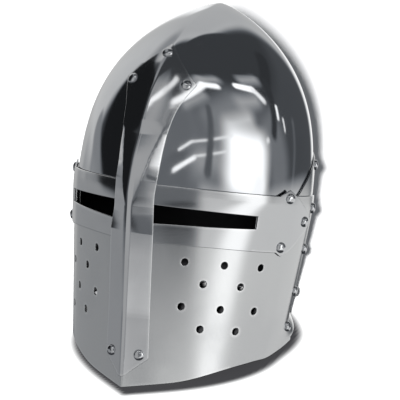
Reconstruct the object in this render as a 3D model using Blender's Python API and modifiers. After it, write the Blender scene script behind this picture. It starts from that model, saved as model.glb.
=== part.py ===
# Sugarloaf helmet of riveted steel plates, resting on its rim. Metres, +Z up, the face towards -Y.
# Each plate is a loft over one shared skin, half of it drawn, then mirrored and given its thickness.
# The skull is two halves that meet along its crease, a hair apart.
# The skin is drawn with the sight line at height 0, and one empty tips the whole helmet back onto its rim.
import math

import bmesh
import bpy
import numpy as np
from mathutils import Matrix, Vector

MM = 0.001

# Main sizes of the skin, before the plates' own offsets
HALF_WIDTH = 112.7 * MM
FRONT_REACH = 145.2 * MM
BACK_REACH = 112.0 * MM
SKULL_RISE = 189.5 * MM
REST_HEIGHT = 118.6 * MM
TIP_BACK = math.radians(19.2)

# Precision of the constructions
MERGE = 1e-5
NORMAL_STEP = 1e-4
RIM_PASSES = 12
PLACE_SAMPLES = 400

# Plates and the gaps between them
PLATE = 1.5 * MM
GAP = 0.3 * MM
LAYER = PLATE + GAP
SKULL_OUT = -1.5 * MM
BACK_OUT = SKULL_OUT + LAYER
BAR_GAP = 0.5 * MM

# Narrowing towards the rim: shares of the main sizes at the lowest point of the front
RIM_WIDTH = 0.871
RIM_FRONT = 0.82
RIM_BACK = 0.95
NARROW_FROM = 0.08
NARROW_SOFT = 0.1
NARROW_TO = -0.752

# Flared rim at the sides and the back, and the relief of the rim between front point and sides
FLARE = 11.0 * MM
FLARE_HEIGHT = 26.0 * MM
FLARE_FROM, FLARE_FULL = 0.95, 1.35
RELIEF = 5.0 * MM
RELIEF_FROM, RELIEF_TO = 0.3, 1.05
FLOOR_DIP = 1.0 * MM
FLOOR_BLOCK = 6 * HALF_WIDTH

# Plan curve: 0 is the keel, 1 the widest point, 2 the middle of the back
KEEL_SLOPE = 0.661
SKULL_KEEL_SLOPE = 0.12
KEEL_PULL = 0.393
SIDE_PULL = 0.53
BACK_PULL = 0.453
BACK_FLAT = 0.55
BACK_MIDDLE = 2.0

# Skull profile, as powers of the share of its height
SIDE_POWER, SIDE_ROOT = 2.93, 0.728
FRONT_POWER, FRONT_ROOT = 3.27, 0.755
PROFILE_FROM, PROFILE_TO = -0.023, 1.018
APEX_BACK = 0.065
APEX_POWER = 1.5
SLOPE_FADE = 1.5

# Places along the plan curve where outlines turn: the sight, the arm's end, the back plate and the seam
SLOT_FROM, SLOT_TO = 0.07, 0.652
ARM_WIDENS, LOBE, LOBE_BACK, BACK_FRONT_EDGE = 0.8, 0.832, 0.862, 0.894
ARM_NARROWS, ARM_BLUNTS, ARM_END, SEAM_EDGE = 0.94, 0.985, 1.04, 1.17

# Columns shared by all the plates, so that their facets stay parallel
COLUMNS = (
    0, SLOT_FROM, 0.135, 0.24, 0.35, 0.46, 0.56, SLOT_TO, 0.71, 0.77, ARM_WIDENS, LOBE, LOBE_BACK,
    BACK_FRONT_EDGE, ARM_NARROWS, ARM_BLUNTS, ARM_END, 1.1, SEAM_EDGE, 1.29, 1.42, 1.56, 1.71,
    1.86, BACK_MIDDLE,
)

# Rows of points: heights over the sight line as shares of the skull's rise
BAND_FOOT = -0.157
SKULL_EDGE = 0.0275
SKULL_ROWS = (SKULL_EDGE, 0.12, 0.24, 0.36, 0.48, 0.595, 0.705, 0.805, 0.89, 0.962)
BROW_ROW, SLOT_TOP_ROW, SLOT_FOOT_ROW = 0.085, 0.011, -0.05
FOOT_ROWS = (0.2, 0.42, 0.64, 0.8, 0.91, 1.0)
SLOT_ROW = 2
BACK_TOP_ROWS = (1.0, 0.67, 0.34)

# Outlines: place along the plan curve against height share
ARM_TOP = {
    "place": (0, ARM_WIDENS - 0.03, ARM_WIDENS, LOBE, BACK_FRONT_EDGE, ARM_BLUNTS, ARM_END),
    "rise": (0.1135, 0.115, 0.13, 0.1465, 0.109, 0.044, 0.006),
}
ARM_FOOT = {
    "place": (0, 0.46, ARM_WIDENS, LOBE, BACK_FRONT_EDGE, ARM_BLUNTS, ARM_END),
    "rise": (-0.162, BAND_FOOT, -0.16, -0.177, -0.141, -0.06, -0.018),
}
SLOT_TOP = {"place": (0, SLOT_TO, ARM_BLUNTS, ARM_END), "rise": (0.0205, 0.011, 0.011, 0.002)}
SLOT_FOOT = {"place": (0, SLOT_TO, ARM_BLUNTS, ARM_END), "rise": (-0.073, -0.0495, -0.03, -0.01)}
FACE_TOP = {
    "place": (ARM_WIDENS - 0.03, ARM_WIDENS, LOBE, BACK_FRONT_EDGE),
    "rise": (0.1055, 0.118, 0.131, 0.12),
}
FACE_SLOT_MARGIN = 0.006
BACK_TOP = {
    "place": (BACK_FRONT_EDGE, ARM_BLUNTS, ARM_END, SEAM_EDGE, 1.42, BACK_MIDDLE),
    "rise": (0.1, 0.2, 0.243, 0.3, 0.35, 0.4),
}

# Nasal bar: height shares of its corners, and half widths as shares of the helmet's
BAR_FOOT, BAR_FOOT_CORNER, BAR_WAIST, BAR_CORNER, BAR_TIP = -0.815, -0.72, 0.19, 0.59, 0.767
BAR_TIP_HALF, BAR_FOOT_HALF, BAR_WAIST_HALF, BAR_CORNER_HALF = 0.01, 0.1775, 0.158, 0.302
BAR_SPREAD = 2.2
BAR_ROWS = {"foot": 5, "sight": 6, "spade": 9, "tip": 4}
BAR_COLUMNS = (0, 0.34, 0.68, 1.0)
BAR_LAYERS = {"rise": (-0.3, -0.21, 0.13, 0.26), "plates": (1, 2, 2, 0)}

# Breath holes: height share of each row against distances from the keel, as shares of the half width
BREATH_RADIUS = 3.3 * MM
BREATH_SIDES = 12
BREATH_BELOW, BREATH_ABOVE = 3 * PLATE, 2 * PLATE
BREATH_ROWS = {
    -0.2375: (0.388, 0.64, 0.845),
    -0.336: (0.514, 0.742),
    -0.452: (0.38, 0.63, 0.82),
    -0.555: (0.51, 0.727),
}

# Rivets
HEAD_RADIUS, HEAD_HEIGHT = 5.0 * MM, 3.0 * MM
DOME_RADIUS, DOME_HEIGHT = 0.72, 0.7
SHANK_RADIUS = 2.0 * MM
SHANK_PLAY = 0.45 * MM
FOOT_RADIUS, FOOT_HEIGHT = 3.8 * MM, 1.6 * MM
FOOT_GAP = 1.1 * MM
RIVET_STEPS = 8
CREASE_ROOM = 0.9 * MM
FLARE_ROOM = 0.5 * MM
BAR_TOP_RIVET = 0.725
BAR_RIVETS = {
    "upper": {"across": 0.232, "rise": 0.585, "into": "skull"},
    "lower": {"across": 0.112, "rise": -0.703, "into": "face"},
}
ARM_RIVETS = {
    "upper": {"place": 0.834, "rise": 0.105, "into": "skull"},
    "lower": {"place": 0.826, "rise": -0.132, "into": "face"},
    "tip": {"place": 0.972, "rise": -0.004, "into": "back"},
}
SEAM_RIVET_PLACE = 1.125
SEAM_RIVETS = (0.058, -0.147, -0.362, -0.545)
BACK_RIVET_DROP = 0.038
BACK_RIVETS = (1.2, 1.47, 1.74)

STEEL = {"base": (0.62, 0.63, 0.65), "rough": 0.22}
SATIN = {"base": (0.58, 0.585, 0.6), "rough": 0.34}
DARKER = {"base": (0.5, 0.505, 0.52), "rough": 0.28}


def riseAt(outline, place):
    return np.interp(place, outline["place"], outline["rise"])


def ease(share):
    share = np.clip(share, 0, 1)
    return share * share * (3 - 2 * share)


def planPoint(place, half, front, back, slope):
    """Point of the plan curve: one cubic from keel to side, one from side to the middle of the back."""
    a = np.clip(place, 0, 1)
    x = 3 * a * (1 - a) ** 2 * KEEL_PULL * half + (3 * a * a * (1 - a) + a**3) * half
    y = -((1 - a) ** 3) * front + 3 * a * (1 - a) ** 2 * (slope * KEEL_PULL * half - front)
    y = y - 3 * a * a * (1 - a) * SIDE_PULL * front
    b = np.clip(place - 1, 0, 1)
    backX = ((1 - b) ** 3 + 3 * b * (1 - b) ** 2 + 3 * b * b * (1 - b) * BACK_FLAT) * half
    backY = (3 * b * (1 - b) ** 2 * BACK_PULL + 3 * b * b * (1 - b) + b**3) * back
    behind = place > 1
    return np.where(behind, backX, x), np.where(behind, backY, y)


def bareSkin(place, height):
    """Skin without the flare, for arrays of place and height."""
    down = np.maximum(NARROW_FROM - height / SKULL_RISE, 0)
    most = NARROW_FROM - NARROW_TO
    narrow = (down * down / (down + NARROW_SOFT)) / (most * most / (most + NARROW_SOFT))
    share = np.clip((height / SKULL_RISE - PROFILE_FROM) / (PROFILE_TO - PROFILE_FROM), 0, 1)
    side = (1 - share**SIDE_POWER) ** SIDE_ROOT * (1 - (1 - RIM_WIDTH) * narrow)
    run = (1 - share**FRONT_POWER) ** FRONT_ROOT
    half = HALF_WIDTH * side
    front = FRONT_REACH * run * (1 - (1 - RIM_FRONT) * narrow)
    back = BACK_REACH * run * (1 - (1 - RIM_BACK) * narrow)
    slope = KEEL_SLOPE + (SKULL_KEEL_SLOPE - KEEL_SLOPE) * np.minimum(share * SLOPE_FADE, 1)
    x, y = planPoint(place, half, front, back, slope)
    return np.stack([x, y + APEX_BACK * HALF_WIDTH * share**APEX_POWER, height + 0 * x], -1)


def rimHeight(place):
    """Height of the skin's lower end: the floor, plus the relief, less a dip that is cut off."""
    place = np.asarray(place, float)
    bump = np.clip((place - RELIEF_FROM) / (RELIEF_TO - RELIEF_FROM), 0, 1)
    above = RELIEF * np.sin(math.pi * bump) ** 2 - FLOOR_DIP
    height = np.full(place.shape, -REST_HEIGHT)
    for _ in range(RIM_PASSES):
        y = bareSkin(place, height)[..., 1]
        height = (y * math.sin(TIP_BACK) + above - REST_HEIGHT) / math.cos(TIP_BACK)
    return height


def flared(place, height):
    points = bareSkin(place, height)
    nearRim = ease(1 - (height - rimHeight(place)) / FLARE_HEIGHT)
    out = FLARE * nearRim * ease((place - FLARE_FROM) / (FLARE_FULL - FLARE_FROM))
    plan = points[..., :2]
    away = plan / np.linalg.norm(plan, axis=-1, keepdims=True)
    return np.concatenate([plan + away * out[..., None], points[..., 2:]], -1)


def skinNormal(place, height):
    step = NORMAL_STEP
    low, high = np.maximum(place - step, 0), np.minimum(place + step, BACK_MIDDLE)
    along = flared(high, height) - flared(low, height)
    up = flared(place, height + step * 0.1) - flared(place, height - step * 0.1)
    normal = np.cross(along, up)
    return normal / np.linalg.norm(normal, axis=-1, keepdims=True)


def skin(place, height, out):
    """Point of the skin moved outwards. On the keel the move is mitred, so both flanks keep the distance."""
    place, height = np.broadcast_arrays(np.asarray(place, float), np.asarray(height, float))
    points, normal = flared(place, height), skinNormal(place, height)
    middle = (place <= 0) | (place >= BACK_MIDDLE)
    flat = np.where(middle[..., None], normal * (0, 1, 1), normal)
    move = flat / (flat**2).sum(-1, keepdims=True)
    points = points + move * np.asarray(out)[..., None]
    points[..., 0] = np.where(middle, 0, points[..., 0])
    return points


def faceOut(place):
    """The face plate lies on the skull in front, and steps up over the back plate at the side."""
    layers = np.interp(place, (ARM_WIDENS, BACK_FRONT_EDGE), (1, 2))
    return SKULL_OUT + LAYER * layers


def bandOut(place):
    return faceOut(place) + LAYER


def placeOf(across, height):
    """Place along the plan curve, in front, at a distance from the keel."""
    places = np.linspace(0, 1, PLACE_SAMPLES)
    return float(np.interp(across, bareSkin(places, np.full(PLACE_SAMPLES, height))[:, 0], places))


def material(name, look):
    made = bpy.data.materials.new(name)
    made.use_nodes = True
    shader = made.node_tree.nodes["Principled BSDF"]
    shader.inputs["Base Color"].default_value = (*look["base"], 1)
    shader.inputs["Metallic"].default_value = 1
    shader.inputs["Roughness"].default_value = look["rough"]
    return made


def addObject(name, mesh, collection, parent, look=None):
    made = bpy.data.objects.new(name, mesh)
    collection.objects.link(made)
    made.parent = parent
    if look:
        mesh.materials.append(material(name, look))
    return made


def gridMesh(name, points, skip=()):
    """Mesh of a grid of points, columns by rows from the top down. skip holds the cells that are left open.

    Each cell is two triangles split the same way, so that twisted cells of two plates stay parallel.
    """
    columns, rows = points.shape[:2]
    faces = []
    for i in range(columns - 1):
        for j in range(rows - 1):
            if (i, j) not in skip:
                corner = i * rows + j
                faces.append((corner, corner + 1, corner + rows + 1))
                faces.append((corner, corner + rows + 1, corner + rows))
    used = np.unique(np.array(faces))
    index = {int(old): new for new, old in enumerate(used)}
    mesh = bpy.data.meshes.new(name)
    corners = points.reshape(-1, 3)[used]
    mesh.from_pydata(corners.tolist(), [], [[index[c] for c in face] for face in faces])
    return mesh


def platePiece(name, mesh, build, look):
    """Half a plate's outer face made into a whole plate: mirrored, then thickened inwards."""
    made = addObject(name, mesh, build["parts"], build["tilt"], look)
    mirror = made.modifiers.new("other side", "MIRROR")
    mirror.merge_threshold = MERGE
    thick = made.modifiers.new("plate", "SOLIDIFY")
    thick.thickness = PLATE
    thick.offset = -1
    thick.use_even_offset = True
    return made


def cut(piece, cutter, name):
    boolean = piece.modifiers.new(name, "BOOLEAN")
    boolean.operation = "DIFFERENCE"
    boolean.solver = "EXACT"
    boolean.object = cutter


def station(place, height, out):
    """Frame on the skin with its z axis outwards, its x axis level."""
    point = Vector(skin(place, height, out))
    outward = Vector(skinNormal(np.array(place), np.array(height)))
    if place <= 0 or place >= BACK_MIDDLE:
        outward = Vector((0, outward.y, outward.z)).normalized()
    level = Vector((0, 0, 1)).cross(outward).normalized()
    turn = Matrix((level, outward.cross(level), outward)).transposed()
    return Matrix.Translation(point) @ turn.to_4x4()


def mirrored(frame):
    """The same frame on the helmet's other side, kept right-handed."""
    flip = Matrix.Diagonal((-1, 1, 1, 1))
    return flip @ frame @ flip


def pegs(name, frames, radius, sides, below, above, build):
    """One cutter mesh with a round peg at each frame."""
    shape = bmesh.new()
    for frame in frames:
        middle = Matrix.Translation((0, 0, (above - below) / 2))
        bmesh.ops.create_cone(
            shape, cap_ends=True, segments=sides, radius1=radius, radius2=radius,
            depth=above + below, matrix=frame @ middle,
        )
    mesh = bpy.data.meshes.new(name)
    shape.to_mesh(mesh)
    shape.free()
    cutter = addObject(name, mesh, build["cutters"], build["tilt"])
    cutter.display_type = "WIRE"
    cutter.hide_render = True
    return cutter


def floorCutter(build):
    """Block under the floor that the rims are cut flat with."""
    shape = bmesh.new()
    under = Matrix.Translation((0, 0, -FLOOR_BLOCK / 2))
    bmesh.ops.create_cube(shape, size=FLOOR_BLOCK, matrix=under)
    mesh = bpy.data.meshes.new("floor_block")
    shape.to_mesh(mesh)
    shape.free()
    cutter = addObject("floor_block", mesh, build["cutters"], None)
    cutter.display_type = "WIRE"
    cutter.hide_render = True
    return cutter


def skullPoints(out):
    """Columns of the right half of the dome, a hair off the middle plane, and the point that closes them."""
    places = np.array(COLUMNS, float)
    heights = np.array(SKULL_ROWS[::-1]) * SKULL_RISE
    points = skin(places[:, None], heights[None, :], out)
    points[..., 0] = np.maximum(points[..., 0], GAP / 2)
    top = PROFILE_TO * SKULL_RISE
    apex = (GAP / 2, float(bareSkin(np.array(1.0), np.array(top))[1]), top + out)
    return points, apex


def addSkullHalf(name, build, left=False):
    """Closed half shell: each column runs down the outer face and up the inner one."""
    outer, outerApex = skullPoints(SKULL_OUT)
    inner, innerApex = skullPoints(SKULL_OUT - PLATE)
    columns, rows = outer.shape[:2]
    turn = 2 * rows
    points = np.concatenate([outer, inner[:, ::-1]], 1).reshape(-1, 3)
    points = np.vstack([points, outerApex, innerApex])
    tip, innerTip = columns * turn, columns * turn + 1
    faces = []
    for i in range(columns - 1):
        here, there = i * turn, (i + 1) * turn
        faces += [(tip, here, there), (innerTip, there + turn - 1, here + turn - 1)]
        for j in range(turn - 1):
            faces.append((here + j, here + j + 1, there + j + 1))
            faces.append((here + j, there + j + 1, there + j))
    front, back = 0, (columns - 1) * turn
    faces += [(tip, innerTip, front + turn - 1, front), (innerTip, tip, back, back + turn - 1)]
    for j in range(rows - 1):
        within = turn - 1 - j
        faces.append((front + j, front + within, front + within - 1, front + j + 1))
        faces.append((back + j + 1, back + within - 1, back + within, back + j))
    if left:
        points = points * (-1, 1, 1)
        faces = [face[::-1] for face in faces]
    mesh = bpy.data.meshes.new(name)
    mesh.from_pydata(points.tolist(), [], faces)
    return addObject(name, mesh, build["parts"], build["tilt"], STEEL)


def lowerRows(places):
    """Heights from the foot of the band to the rim, for each place."""
    low = BAND_FOOT * SKULL_RISE
    rim = rimHeight(places)[:, None]
    return low + np.array(FOOT_ROWS)[None, :] * (rim - low)


def addBackPlate(build):
    places = np.array([c for c in COLUMNS if c >= BACK_FRONT_EDGE])
    top = riseAt(BACK_TOP, places)[:, None]
    above = BROW_ROW + (top - BROW_ROW) * np.array(BACK_TOP_ROWS)
    level = np.array([BROW_ROW, SLOT_TOP_ROW, SLOT_FOOT_ROW, BAND_FOOT]) + 0 * top
    heights = np.concatenate([above * SKULL_RISE, level * SKULL_RISE, lowerRows(places)], 1)
    points = skin(places[:, None], heights, BACK_OUT)
    return platePiece("back_plate", gridMesh("back_plate", points), build, SATIN)


def slotCells(places):
    """Cells of a plate's grid that the sight leaves open, all in one row."""
    cells = range(len(places) - 1)
    return {(i, SLOT_ROW) for i in cells if SLOT_FROM <= places[i] and places[i + 1] <= SLOT_TO}


def addFacePlate(build):
    places = np.array([c for c in COLUMNS if c <= SEAM_EDGE])
    front = places <= SLOT_TO
    slotTop = np.where(front, riseAt(SLOT_TOP, places) + FACE_SLOT_MARGIN, SLOT_TOP_ROW)
    slotFoot = np.where(front, riseAt(SLOT_FOOT, places) - FACE_SLOT_MARGIN, SLOT_FOOT_ROW)
    foot = np.full(len(places), BAND_FOOT)
    brow = np.full(len(places), BROW_ROW)
    upper = np.stack([riseAt(FACE_TOP, places), brow, slotTop, slotFoot, foot], 1) * SKULL_RISE
    heights = np.concatenate([upper, lowerRows(places)], 1)
    points = skin(places[:, None], heights, faceOut(places)[:, None] + 0 * heights)
    mesh = gridMesh("face_plate", points, slotCells(places))
    return platePiece("face_plate", mesh, build, SATIN)


def addSightBand(build):
    places = np.array([c for c in COLUMNS if c <= ARM_END])
    top, slotTop = riseAt(ARM_TOP, places), riseAt(SLOT_TOP, places)
    brow = np.minimum(BROW_ROW, (top + slotTop) / 2)
    rows = [top, brow, slotTop, riseAt(SLOT_FOOT, places), riseAt(ARM_FOOT, places)]
    heights = np.stack(rows, 1) * SKULL_RISE
    points = skin(places[:, None], heights, bandOut(places)[:, None] + 0 * heights)
    mesh = gridMesh("sight_band", points, slotCells(places))
    return platePiece("sight_band", mesh, build, STEEL)


def barOut(height):
    """How far the bar's outer face lies off the skin: it steps over the band and down to the skull."""
    plates = np.interp(height / SKULL_RISE, BAR_LAYERS["rise"], BAR_LAYERS["plates"])
    return SKULL_OUT + LAYER * plates + BAR_GAP + PLATE


def barHalf(share):
    """Half width: straight from foot to waist, a power curve up to the corner, straight to the tips."""
    spread = np.clip((share - BAR_WAIST) / (BAR_CORNER - BAR_WAIST), 0, 1) ** BAR_SPREAD
    corners = (BAR_FOOT, BAR_FOOT_CORNER, BAR_WAIST, BAR_CORNER, BAR_TIP)
    straight = (BAR_TIP_HALF, BAR_FOOT_HALF, BAR_WAIST_HALF, BAR_WAIST_HALF, BAR_TIP_HALF)
    fall = np.clip((BAR_TIP - share) / (BAR_TIP - BAR_CORNER), 0, 1)
    return np.interp(share, corners, straight) + (BAR_CORNER_HALF - BAR_WAIST_HALF) * spread * fall


def addNasalBar(build):
    bandFrom, bandOn, bandTo, _ = BAR_LAYERS["rise"]
    foot = np.linspace(BAR_FOOT_CORNER, bandFrom, BAR_ROWS["foot"])
    sight = np.linspace(bandOn, bandTo, BAR_ROWS["sight"])
    spade = np.linspace(BAR_WAIST, BAR_CORNER, BAR_ROWS["spade"])
    tip = np.linspace(BAR_CORNER, BAR_TIP, BAR_ROWS["tip"])[1:]
    shares = np.concatenate([[BAR_FOOT], foot, sight, spade, tip])[::-1]
    heights, halves = shares * SKULL_RISE, barHalf(shares) * HALF_WIDTH
    points = np.empty((len(BAR_COLUMNS), len(heights), 3))
    for i, share in enumerate(BAR_COLUMNS):
        places = np.array([placeOf(share * w, h) if share else 0 for h, w in zip(heights, halves)])
        points[i] = skin(places, heights, barOut(heights))
    return platePiece("nasal_bar", gridMesh("nasal_bar", points), build, DARKER)


def rivetMesh(name, stack):
    """Profile of a rivet through a stack of plates, turned round its axis by a Screw modifier."""
    r, h = HEAD_RADIUS, HEAD_HEIGHT
    foot = -(stack + FOOT_GAP)
    profile = (
        (0, GAP + h), (DOME_RADIUS * r, GAP + DOME_HEIGHT * h), (r, GAP),
        (SHANK_RADIUS, GAP), (SHANK_RADIUS, foot), (FOOT_RADIUS, foot),
        (0, foot - FOOT_HEIGHT),
    )
    mesh = bpy.data.meshes.new(name)
    points = [(x, 0, z) for x, z in profile]
    mesh.from_pydata(points, [(i, i + 1) for i in range(len(points) - 1)], [])
    return mesh


def addRivet(name, frame, stack, build):
    made = addObject(name, rivetMesh(name, stack), build["parts"], build["tilt"], STEEL)
    made.matrix_local = frame
    turned = made.modifiers.new("turned", "SCREW")
    turned.steps = RIVET_STEPS
    turned.render_steps = RIVET_STEPS
    turned.use_merge_vertices = True
    turned.merge_threshold = MERGE
    build["frames"].append(frame)


def bothSides(name, frame, stack, build):
    addRivet(name + "_right", frame, stack, build)
    addRivet(name + "_left", mirrored(frame), stack, build)


def rise(share):
    return share * SKULL_RISE


def backRivetHeight(place):
    return rise(float(riseAt(BACK_TOP, place)) - BACK_RIVET_DROP)


def insideOf(plate, place):
    """How far a plate's inner face lies off the skin."""
    outer = {"skull": SKULL_OUT, "back": BACK_OUT, "face": faceOut(place)}
    return outer[plate] - PLATE


def addRivets(build):
    """Each rivet goes through from its head's plate to the inner face of the innermost plate there."""
    height = rise(BAR_TOP_RIVET)
    out = float(barOut(height))
    stack = out - insideOf("skull", 0) + CREASE_ROOM
    addRivet("rivet_bar_top", station(0.0, height, out), stack, build)
    for label, rivet in BAR_RIVETS.items():
        height = rise(rivet["rise"])
        place, out = placeOf(rivet["across"] * HALF_WIDTH, height), float(barOut(height))
        stack = out - insideOf(rivet["into"], place)
        bothSides("rivet_bar_" + label, station(place, height, out), stack, build)
    for label, rivet in ARM_RIVETS.items():
        place, out = rivet["place"], bandOut(rivet["place"])
        stack = out - insideOf(rivet["into"], place)
        bothSides("rivet_arm_" + label, station(place, rise(rivet["rise"]), out), stack, build)
    for number, share in enumerate(SEAM_RIVETS, 1):
        out = faceOut(SEAM_RIVET_PLACE) + (FLARE_ROOM if number == len(SEAM_RIVETS) else 0)
        stack = out - insideOf("skull" if share > SKULL_EDGE else "back", SEAM_RIVET_PLACE)
        frame = station(SEAM_RIVET_PLACE, rise(share), out)
        bothSides(f"rivet_seam_{number}", frame, stack, build)
    stack = BACK_OUT - insideOf("skull", BACK_MIDDLE)
    for number, place in enumerate(BACK_RIVETS, 1):
        frame = station(place, backRivetHeight(place), BACK_OUT)
        bothSides(f"rivet_back_{number}", frame, stack, build)
    frame = station(BACK_MIDDLE, backRivetHeight(BACK_MIDDLE), BACK_OUT)
    addRivet("rivet_back_middle", frame, stack, build)


def centreOnOrigin(build):
    """Moves the whole helmet so that its bounding box is centred over the origin."""
    bpy.context.view_layer.update()
    graph = bpy.context.evaluated_depsgraph_get()
    depths = []
    for piece in build["parts"].objects:
        if piece.type == "MESH":
            seen = piece.evaluated_get(graph)
            depths += [(seen.matrix_world @ point.co).y for point in seen.data.vertices]
    build["tilt"].location.y -= (min(depths) + max(depths)) / 2


def main():
    for old in list(bpy.data.objects):
        bpy.data.objects.remove(old)
    parts = bpy.data.collections.new("sugarloaf_helmet")
    cutters = bpy.data.collections.new("cutters")
    for collection in (parts, cutters):
        bpy.context.scene.collection.children.link(collection)
    cutters.hide_render = True
    tilt = bpy.data.objects.new("tilt", None)
    parts.objects.link(tilt)
    tilt.rotation_euler.x = -TIP_BACK
    tilt.location.z = REST_HEIGHT
    build = {"parts": parts, "cutters": cutters, "tilt": tilt, "frames": []}

    skulls = [addSkullHalf("skull_right", build), addSkullHalf("skull_left", build, left=True)]
    back, face = addBackPlate(build), addFacePlate(build)
    band, bar = addSightBand(build), addNasalBar(build)
    addRivets(build)

    floor = floorCutter(build)
    below, above = 4 * LAYER + FOOT_GAP, HEAD_HEIGHT
    shanks = pegs(
        "shank_pegs", build["frames"], SHANK_RADIUS + SHANK_PLAY, RIVET_STEPS, below, above, build
    )
    holes = []
    for share, row in BREATH_ROWS.items():
        for across in row:
            place = placeOf(across * HALF_WIDTH, rise(share))
            frame = station(place, rise(share), faceOut(place))
            holes += [frame, mirrored(frame)]
    breaths = pegs(
        "breath_pegs", holes, BREATH_RADIUS, BREATH_SIDES, BREATH_BELOW, BREATH_ABOVE, build
    )
    cut(face, breaths, "breath holes")
    for plate in (back, face):
        cut(plate, floor, "flat rim")
    for plate in (*skulls, back, face, band, bar):
        cut(plate, shanks, "rivet holes")
    centreOnOrigin(build)


main()
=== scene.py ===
import math

import bpy
import numpy as np
from mathutils import Matrix, Vector


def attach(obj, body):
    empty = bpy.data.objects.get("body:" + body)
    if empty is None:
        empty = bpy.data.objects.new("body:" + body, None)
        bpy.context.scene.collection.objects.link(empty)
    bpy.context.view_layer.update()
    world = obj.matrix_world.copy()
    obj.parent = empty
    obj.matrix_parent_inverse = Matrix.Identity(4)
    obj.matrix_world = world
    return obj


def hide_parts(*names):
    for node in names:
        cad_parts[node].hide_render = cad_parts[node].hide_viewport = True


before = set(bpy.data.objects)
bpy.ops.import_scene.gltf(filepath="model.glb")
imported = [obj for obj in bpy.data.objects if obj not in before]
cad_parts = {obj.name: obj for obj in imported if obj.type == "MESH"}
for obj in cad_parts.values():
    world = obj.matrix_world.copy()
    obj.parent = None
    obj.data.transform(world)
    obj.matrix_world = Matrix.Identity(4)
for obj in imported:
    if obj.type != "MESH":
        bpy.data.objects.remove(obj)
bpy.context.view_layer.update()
print("frame loaded:", len(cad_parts), "nodes")

mm = 0.001
body = "root"

# The helmet's form. Places run round the plan: 0 the keel, 1 the widest point, 2 the middle of the back,
# and 4 - place is the same point on the other side. Heights are over the sight line.
form = {
    "halfWidth": 112.7 * mm, "frontReach": 145.2 * mm, "backReach": 112.0 * mm, "skullRise": 189.5 * mm,
    "restHeight": 118.6 * mm, "tipBack": math.radians(19.2), "standY": 16.789 * mm,
    "rimWidth": 0.871, "rimFront": 0.82, "rimBack": 0.95,
    "narrowFrom": 0.08, "narrowSoft": 0.1, "narrowTo": -0.752,
    "flare": 11.0 * mm, "flareHeight": 26.0 * mm, "flareBelow": 1.06 * mm,
    "flareFrom": 0.95, "flareFull": 1.35,
    "relief": 5.0 * mm, "reliefFrom": 0.3, "reliefTo": 1.05,
    "keelSlope": 0.661, "skullKeelSlope": 0.12, "keelPull": 0.393, "sidePull": 0.53, "backPull": 0.453,
    "backFlat": 0.55, "sidePower": 2.93, "sideRoot": 0.728, "frontPower": 3.27, "frontRoot": 0.755,
    "profileFrom": -0.023, "profileTo": 1.018, "apexBack": 0.065, "apexPower": 1.5, "slopeFade": 1.5,
    "keelRound": 0.0125,
}
plate = {
    "thick": 1.5 * mm, "layer": 1.8 * mm, "skullOut": -1.7 * mm, "barGap": 0.5 * mm,
    "edgeRound": 0.55 * mm, "edgeRings": 5, "edgeSquare": 0.72, "cornerMost": 1.5, "roomShare": 0.6,
    # the wear reach is how far the plate edges lighten, partly from wear and partly as a painted sheen
    "wearAndSheenReach": 7 * mm, "overFloor": 0.12 * mm,
}
tilt = Matrix.Translation((0, form["standY"], form["restHeight"]))
tilt = tilt @ Matrix.Rotation(-form["tipBack"], 4, "X")
tiltTurn = np.array(tilt.to_3x3())
tiltMove = np.array(tilt.translation)


def ease(share):
    # smooth step: 3 share squared - 2 share cubed, between 0 and 1
    share = np.clip(share, 0, 1)
    return share * share * (3 - 2 * share)


def acrossShare(a):
    # distance from the keel as a share of the half width: a cubic with its first pull at keelPull
    return 3 * a * (1 - a) ** 2 * form["keelPull"] + 3 * a * a * (1 - a) + a**3


def planPoint(place, half, front, back, slope):
    # one cubic from keel to side, one from the side to the middle of the back
    a = np.clip(place, 0, 1)
    x = acrossShare(a) * half
    y = -((1 - a) ** 3) * front + 3 * a * (1 - a) ** 2 * (slope * form["keelPull"] * half - front)
    y = y - 3 * a * a * (1 - a) * form["sidePull"] * front
    b = np.clip(place - 1, 0, 1)
    backX = ((1 - b) ** 3 + 3 * b * (1 - b) ** 2 + 3 * b * b * (1 - b) * form["backFlat"]) * half
    backY = (3 * b * (1 - b) ** 2 * form["backPull"] + 3 * b * b * (1 - b) + b**3) * back
    return np.where(place > 1, backX, x), np.where(place > 1, backY, y)


def sizesAt(height):
    # half width, reach to the front and the back, keel slope and rise share at a height
    rise = form["skullRise"]
    down = np.maximum(form["narrowFrom"] - height / rise, 0)
    most = form["narrowFrom"] - form["narrowTo"]
    soft = form["narrowSoft"]
    narrow = (down * down / (down + soft)) / (most * most / (most + soft))
    span = form["profileTo"] - form["profileFrom"]
    share = np.clip((height / rise - form["profileFrom"]) / span, 0, 1)
    run = (1 - share ** form["frontPower"]) ** form["frontRoot"]
    side = (1 - share ** form["sidePower"]) ** form["sideRoot"]
    half = form["halfWidth"] * side * (1 - (1 - form["rimWidth"]) * narrow)
    front = form["frontReach"] * run * (1 - (1 - form["rimFront"]) * narrow)
    back = form["backReach"] * run * (1 - (1 - form["rimBack"]) * narrow)
    fade = np.minimum(share * form["slopeFade"], 1)
    slope = form["keelSlope"] + (form["skullKeelSlope"] - form["keelSlope"]) * fade
    return half, front, back, slope, share


def bareSkin(place, height):
    # the plan curve at each height, moved back towards the top
    half, front, back, slope, share = sizesAt(height)
    x, y = planPoint(place, half, front, back, slope)
    y = y + form["apexBack"] * form["halfWidth"] * share ** form["apexPower"]
    return np.stack([x, y, height + 0 * x], -1)


def rimHeight(place):
    # where the skin meets the floor, plus the relief between front point and sides
    place = np.asarray(place, float)
    bump = np.clip((place - form["reliefFrom"]) / (form["reliefTo"] - form["reliefFrom"]), 0, 1)
    above = form["relief"] * np.sin(math.pi * bump) ** 2
    lean, height = form["tipBack"], np.full(place.shape, -form["restHeight"])
    for _ in range(12):
        y = bareSkin(place, height)[..., 1]
        height = (y * math.sin(lean) + above - form["restHeight"]) / math.cos(lean)
    return height


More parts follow.
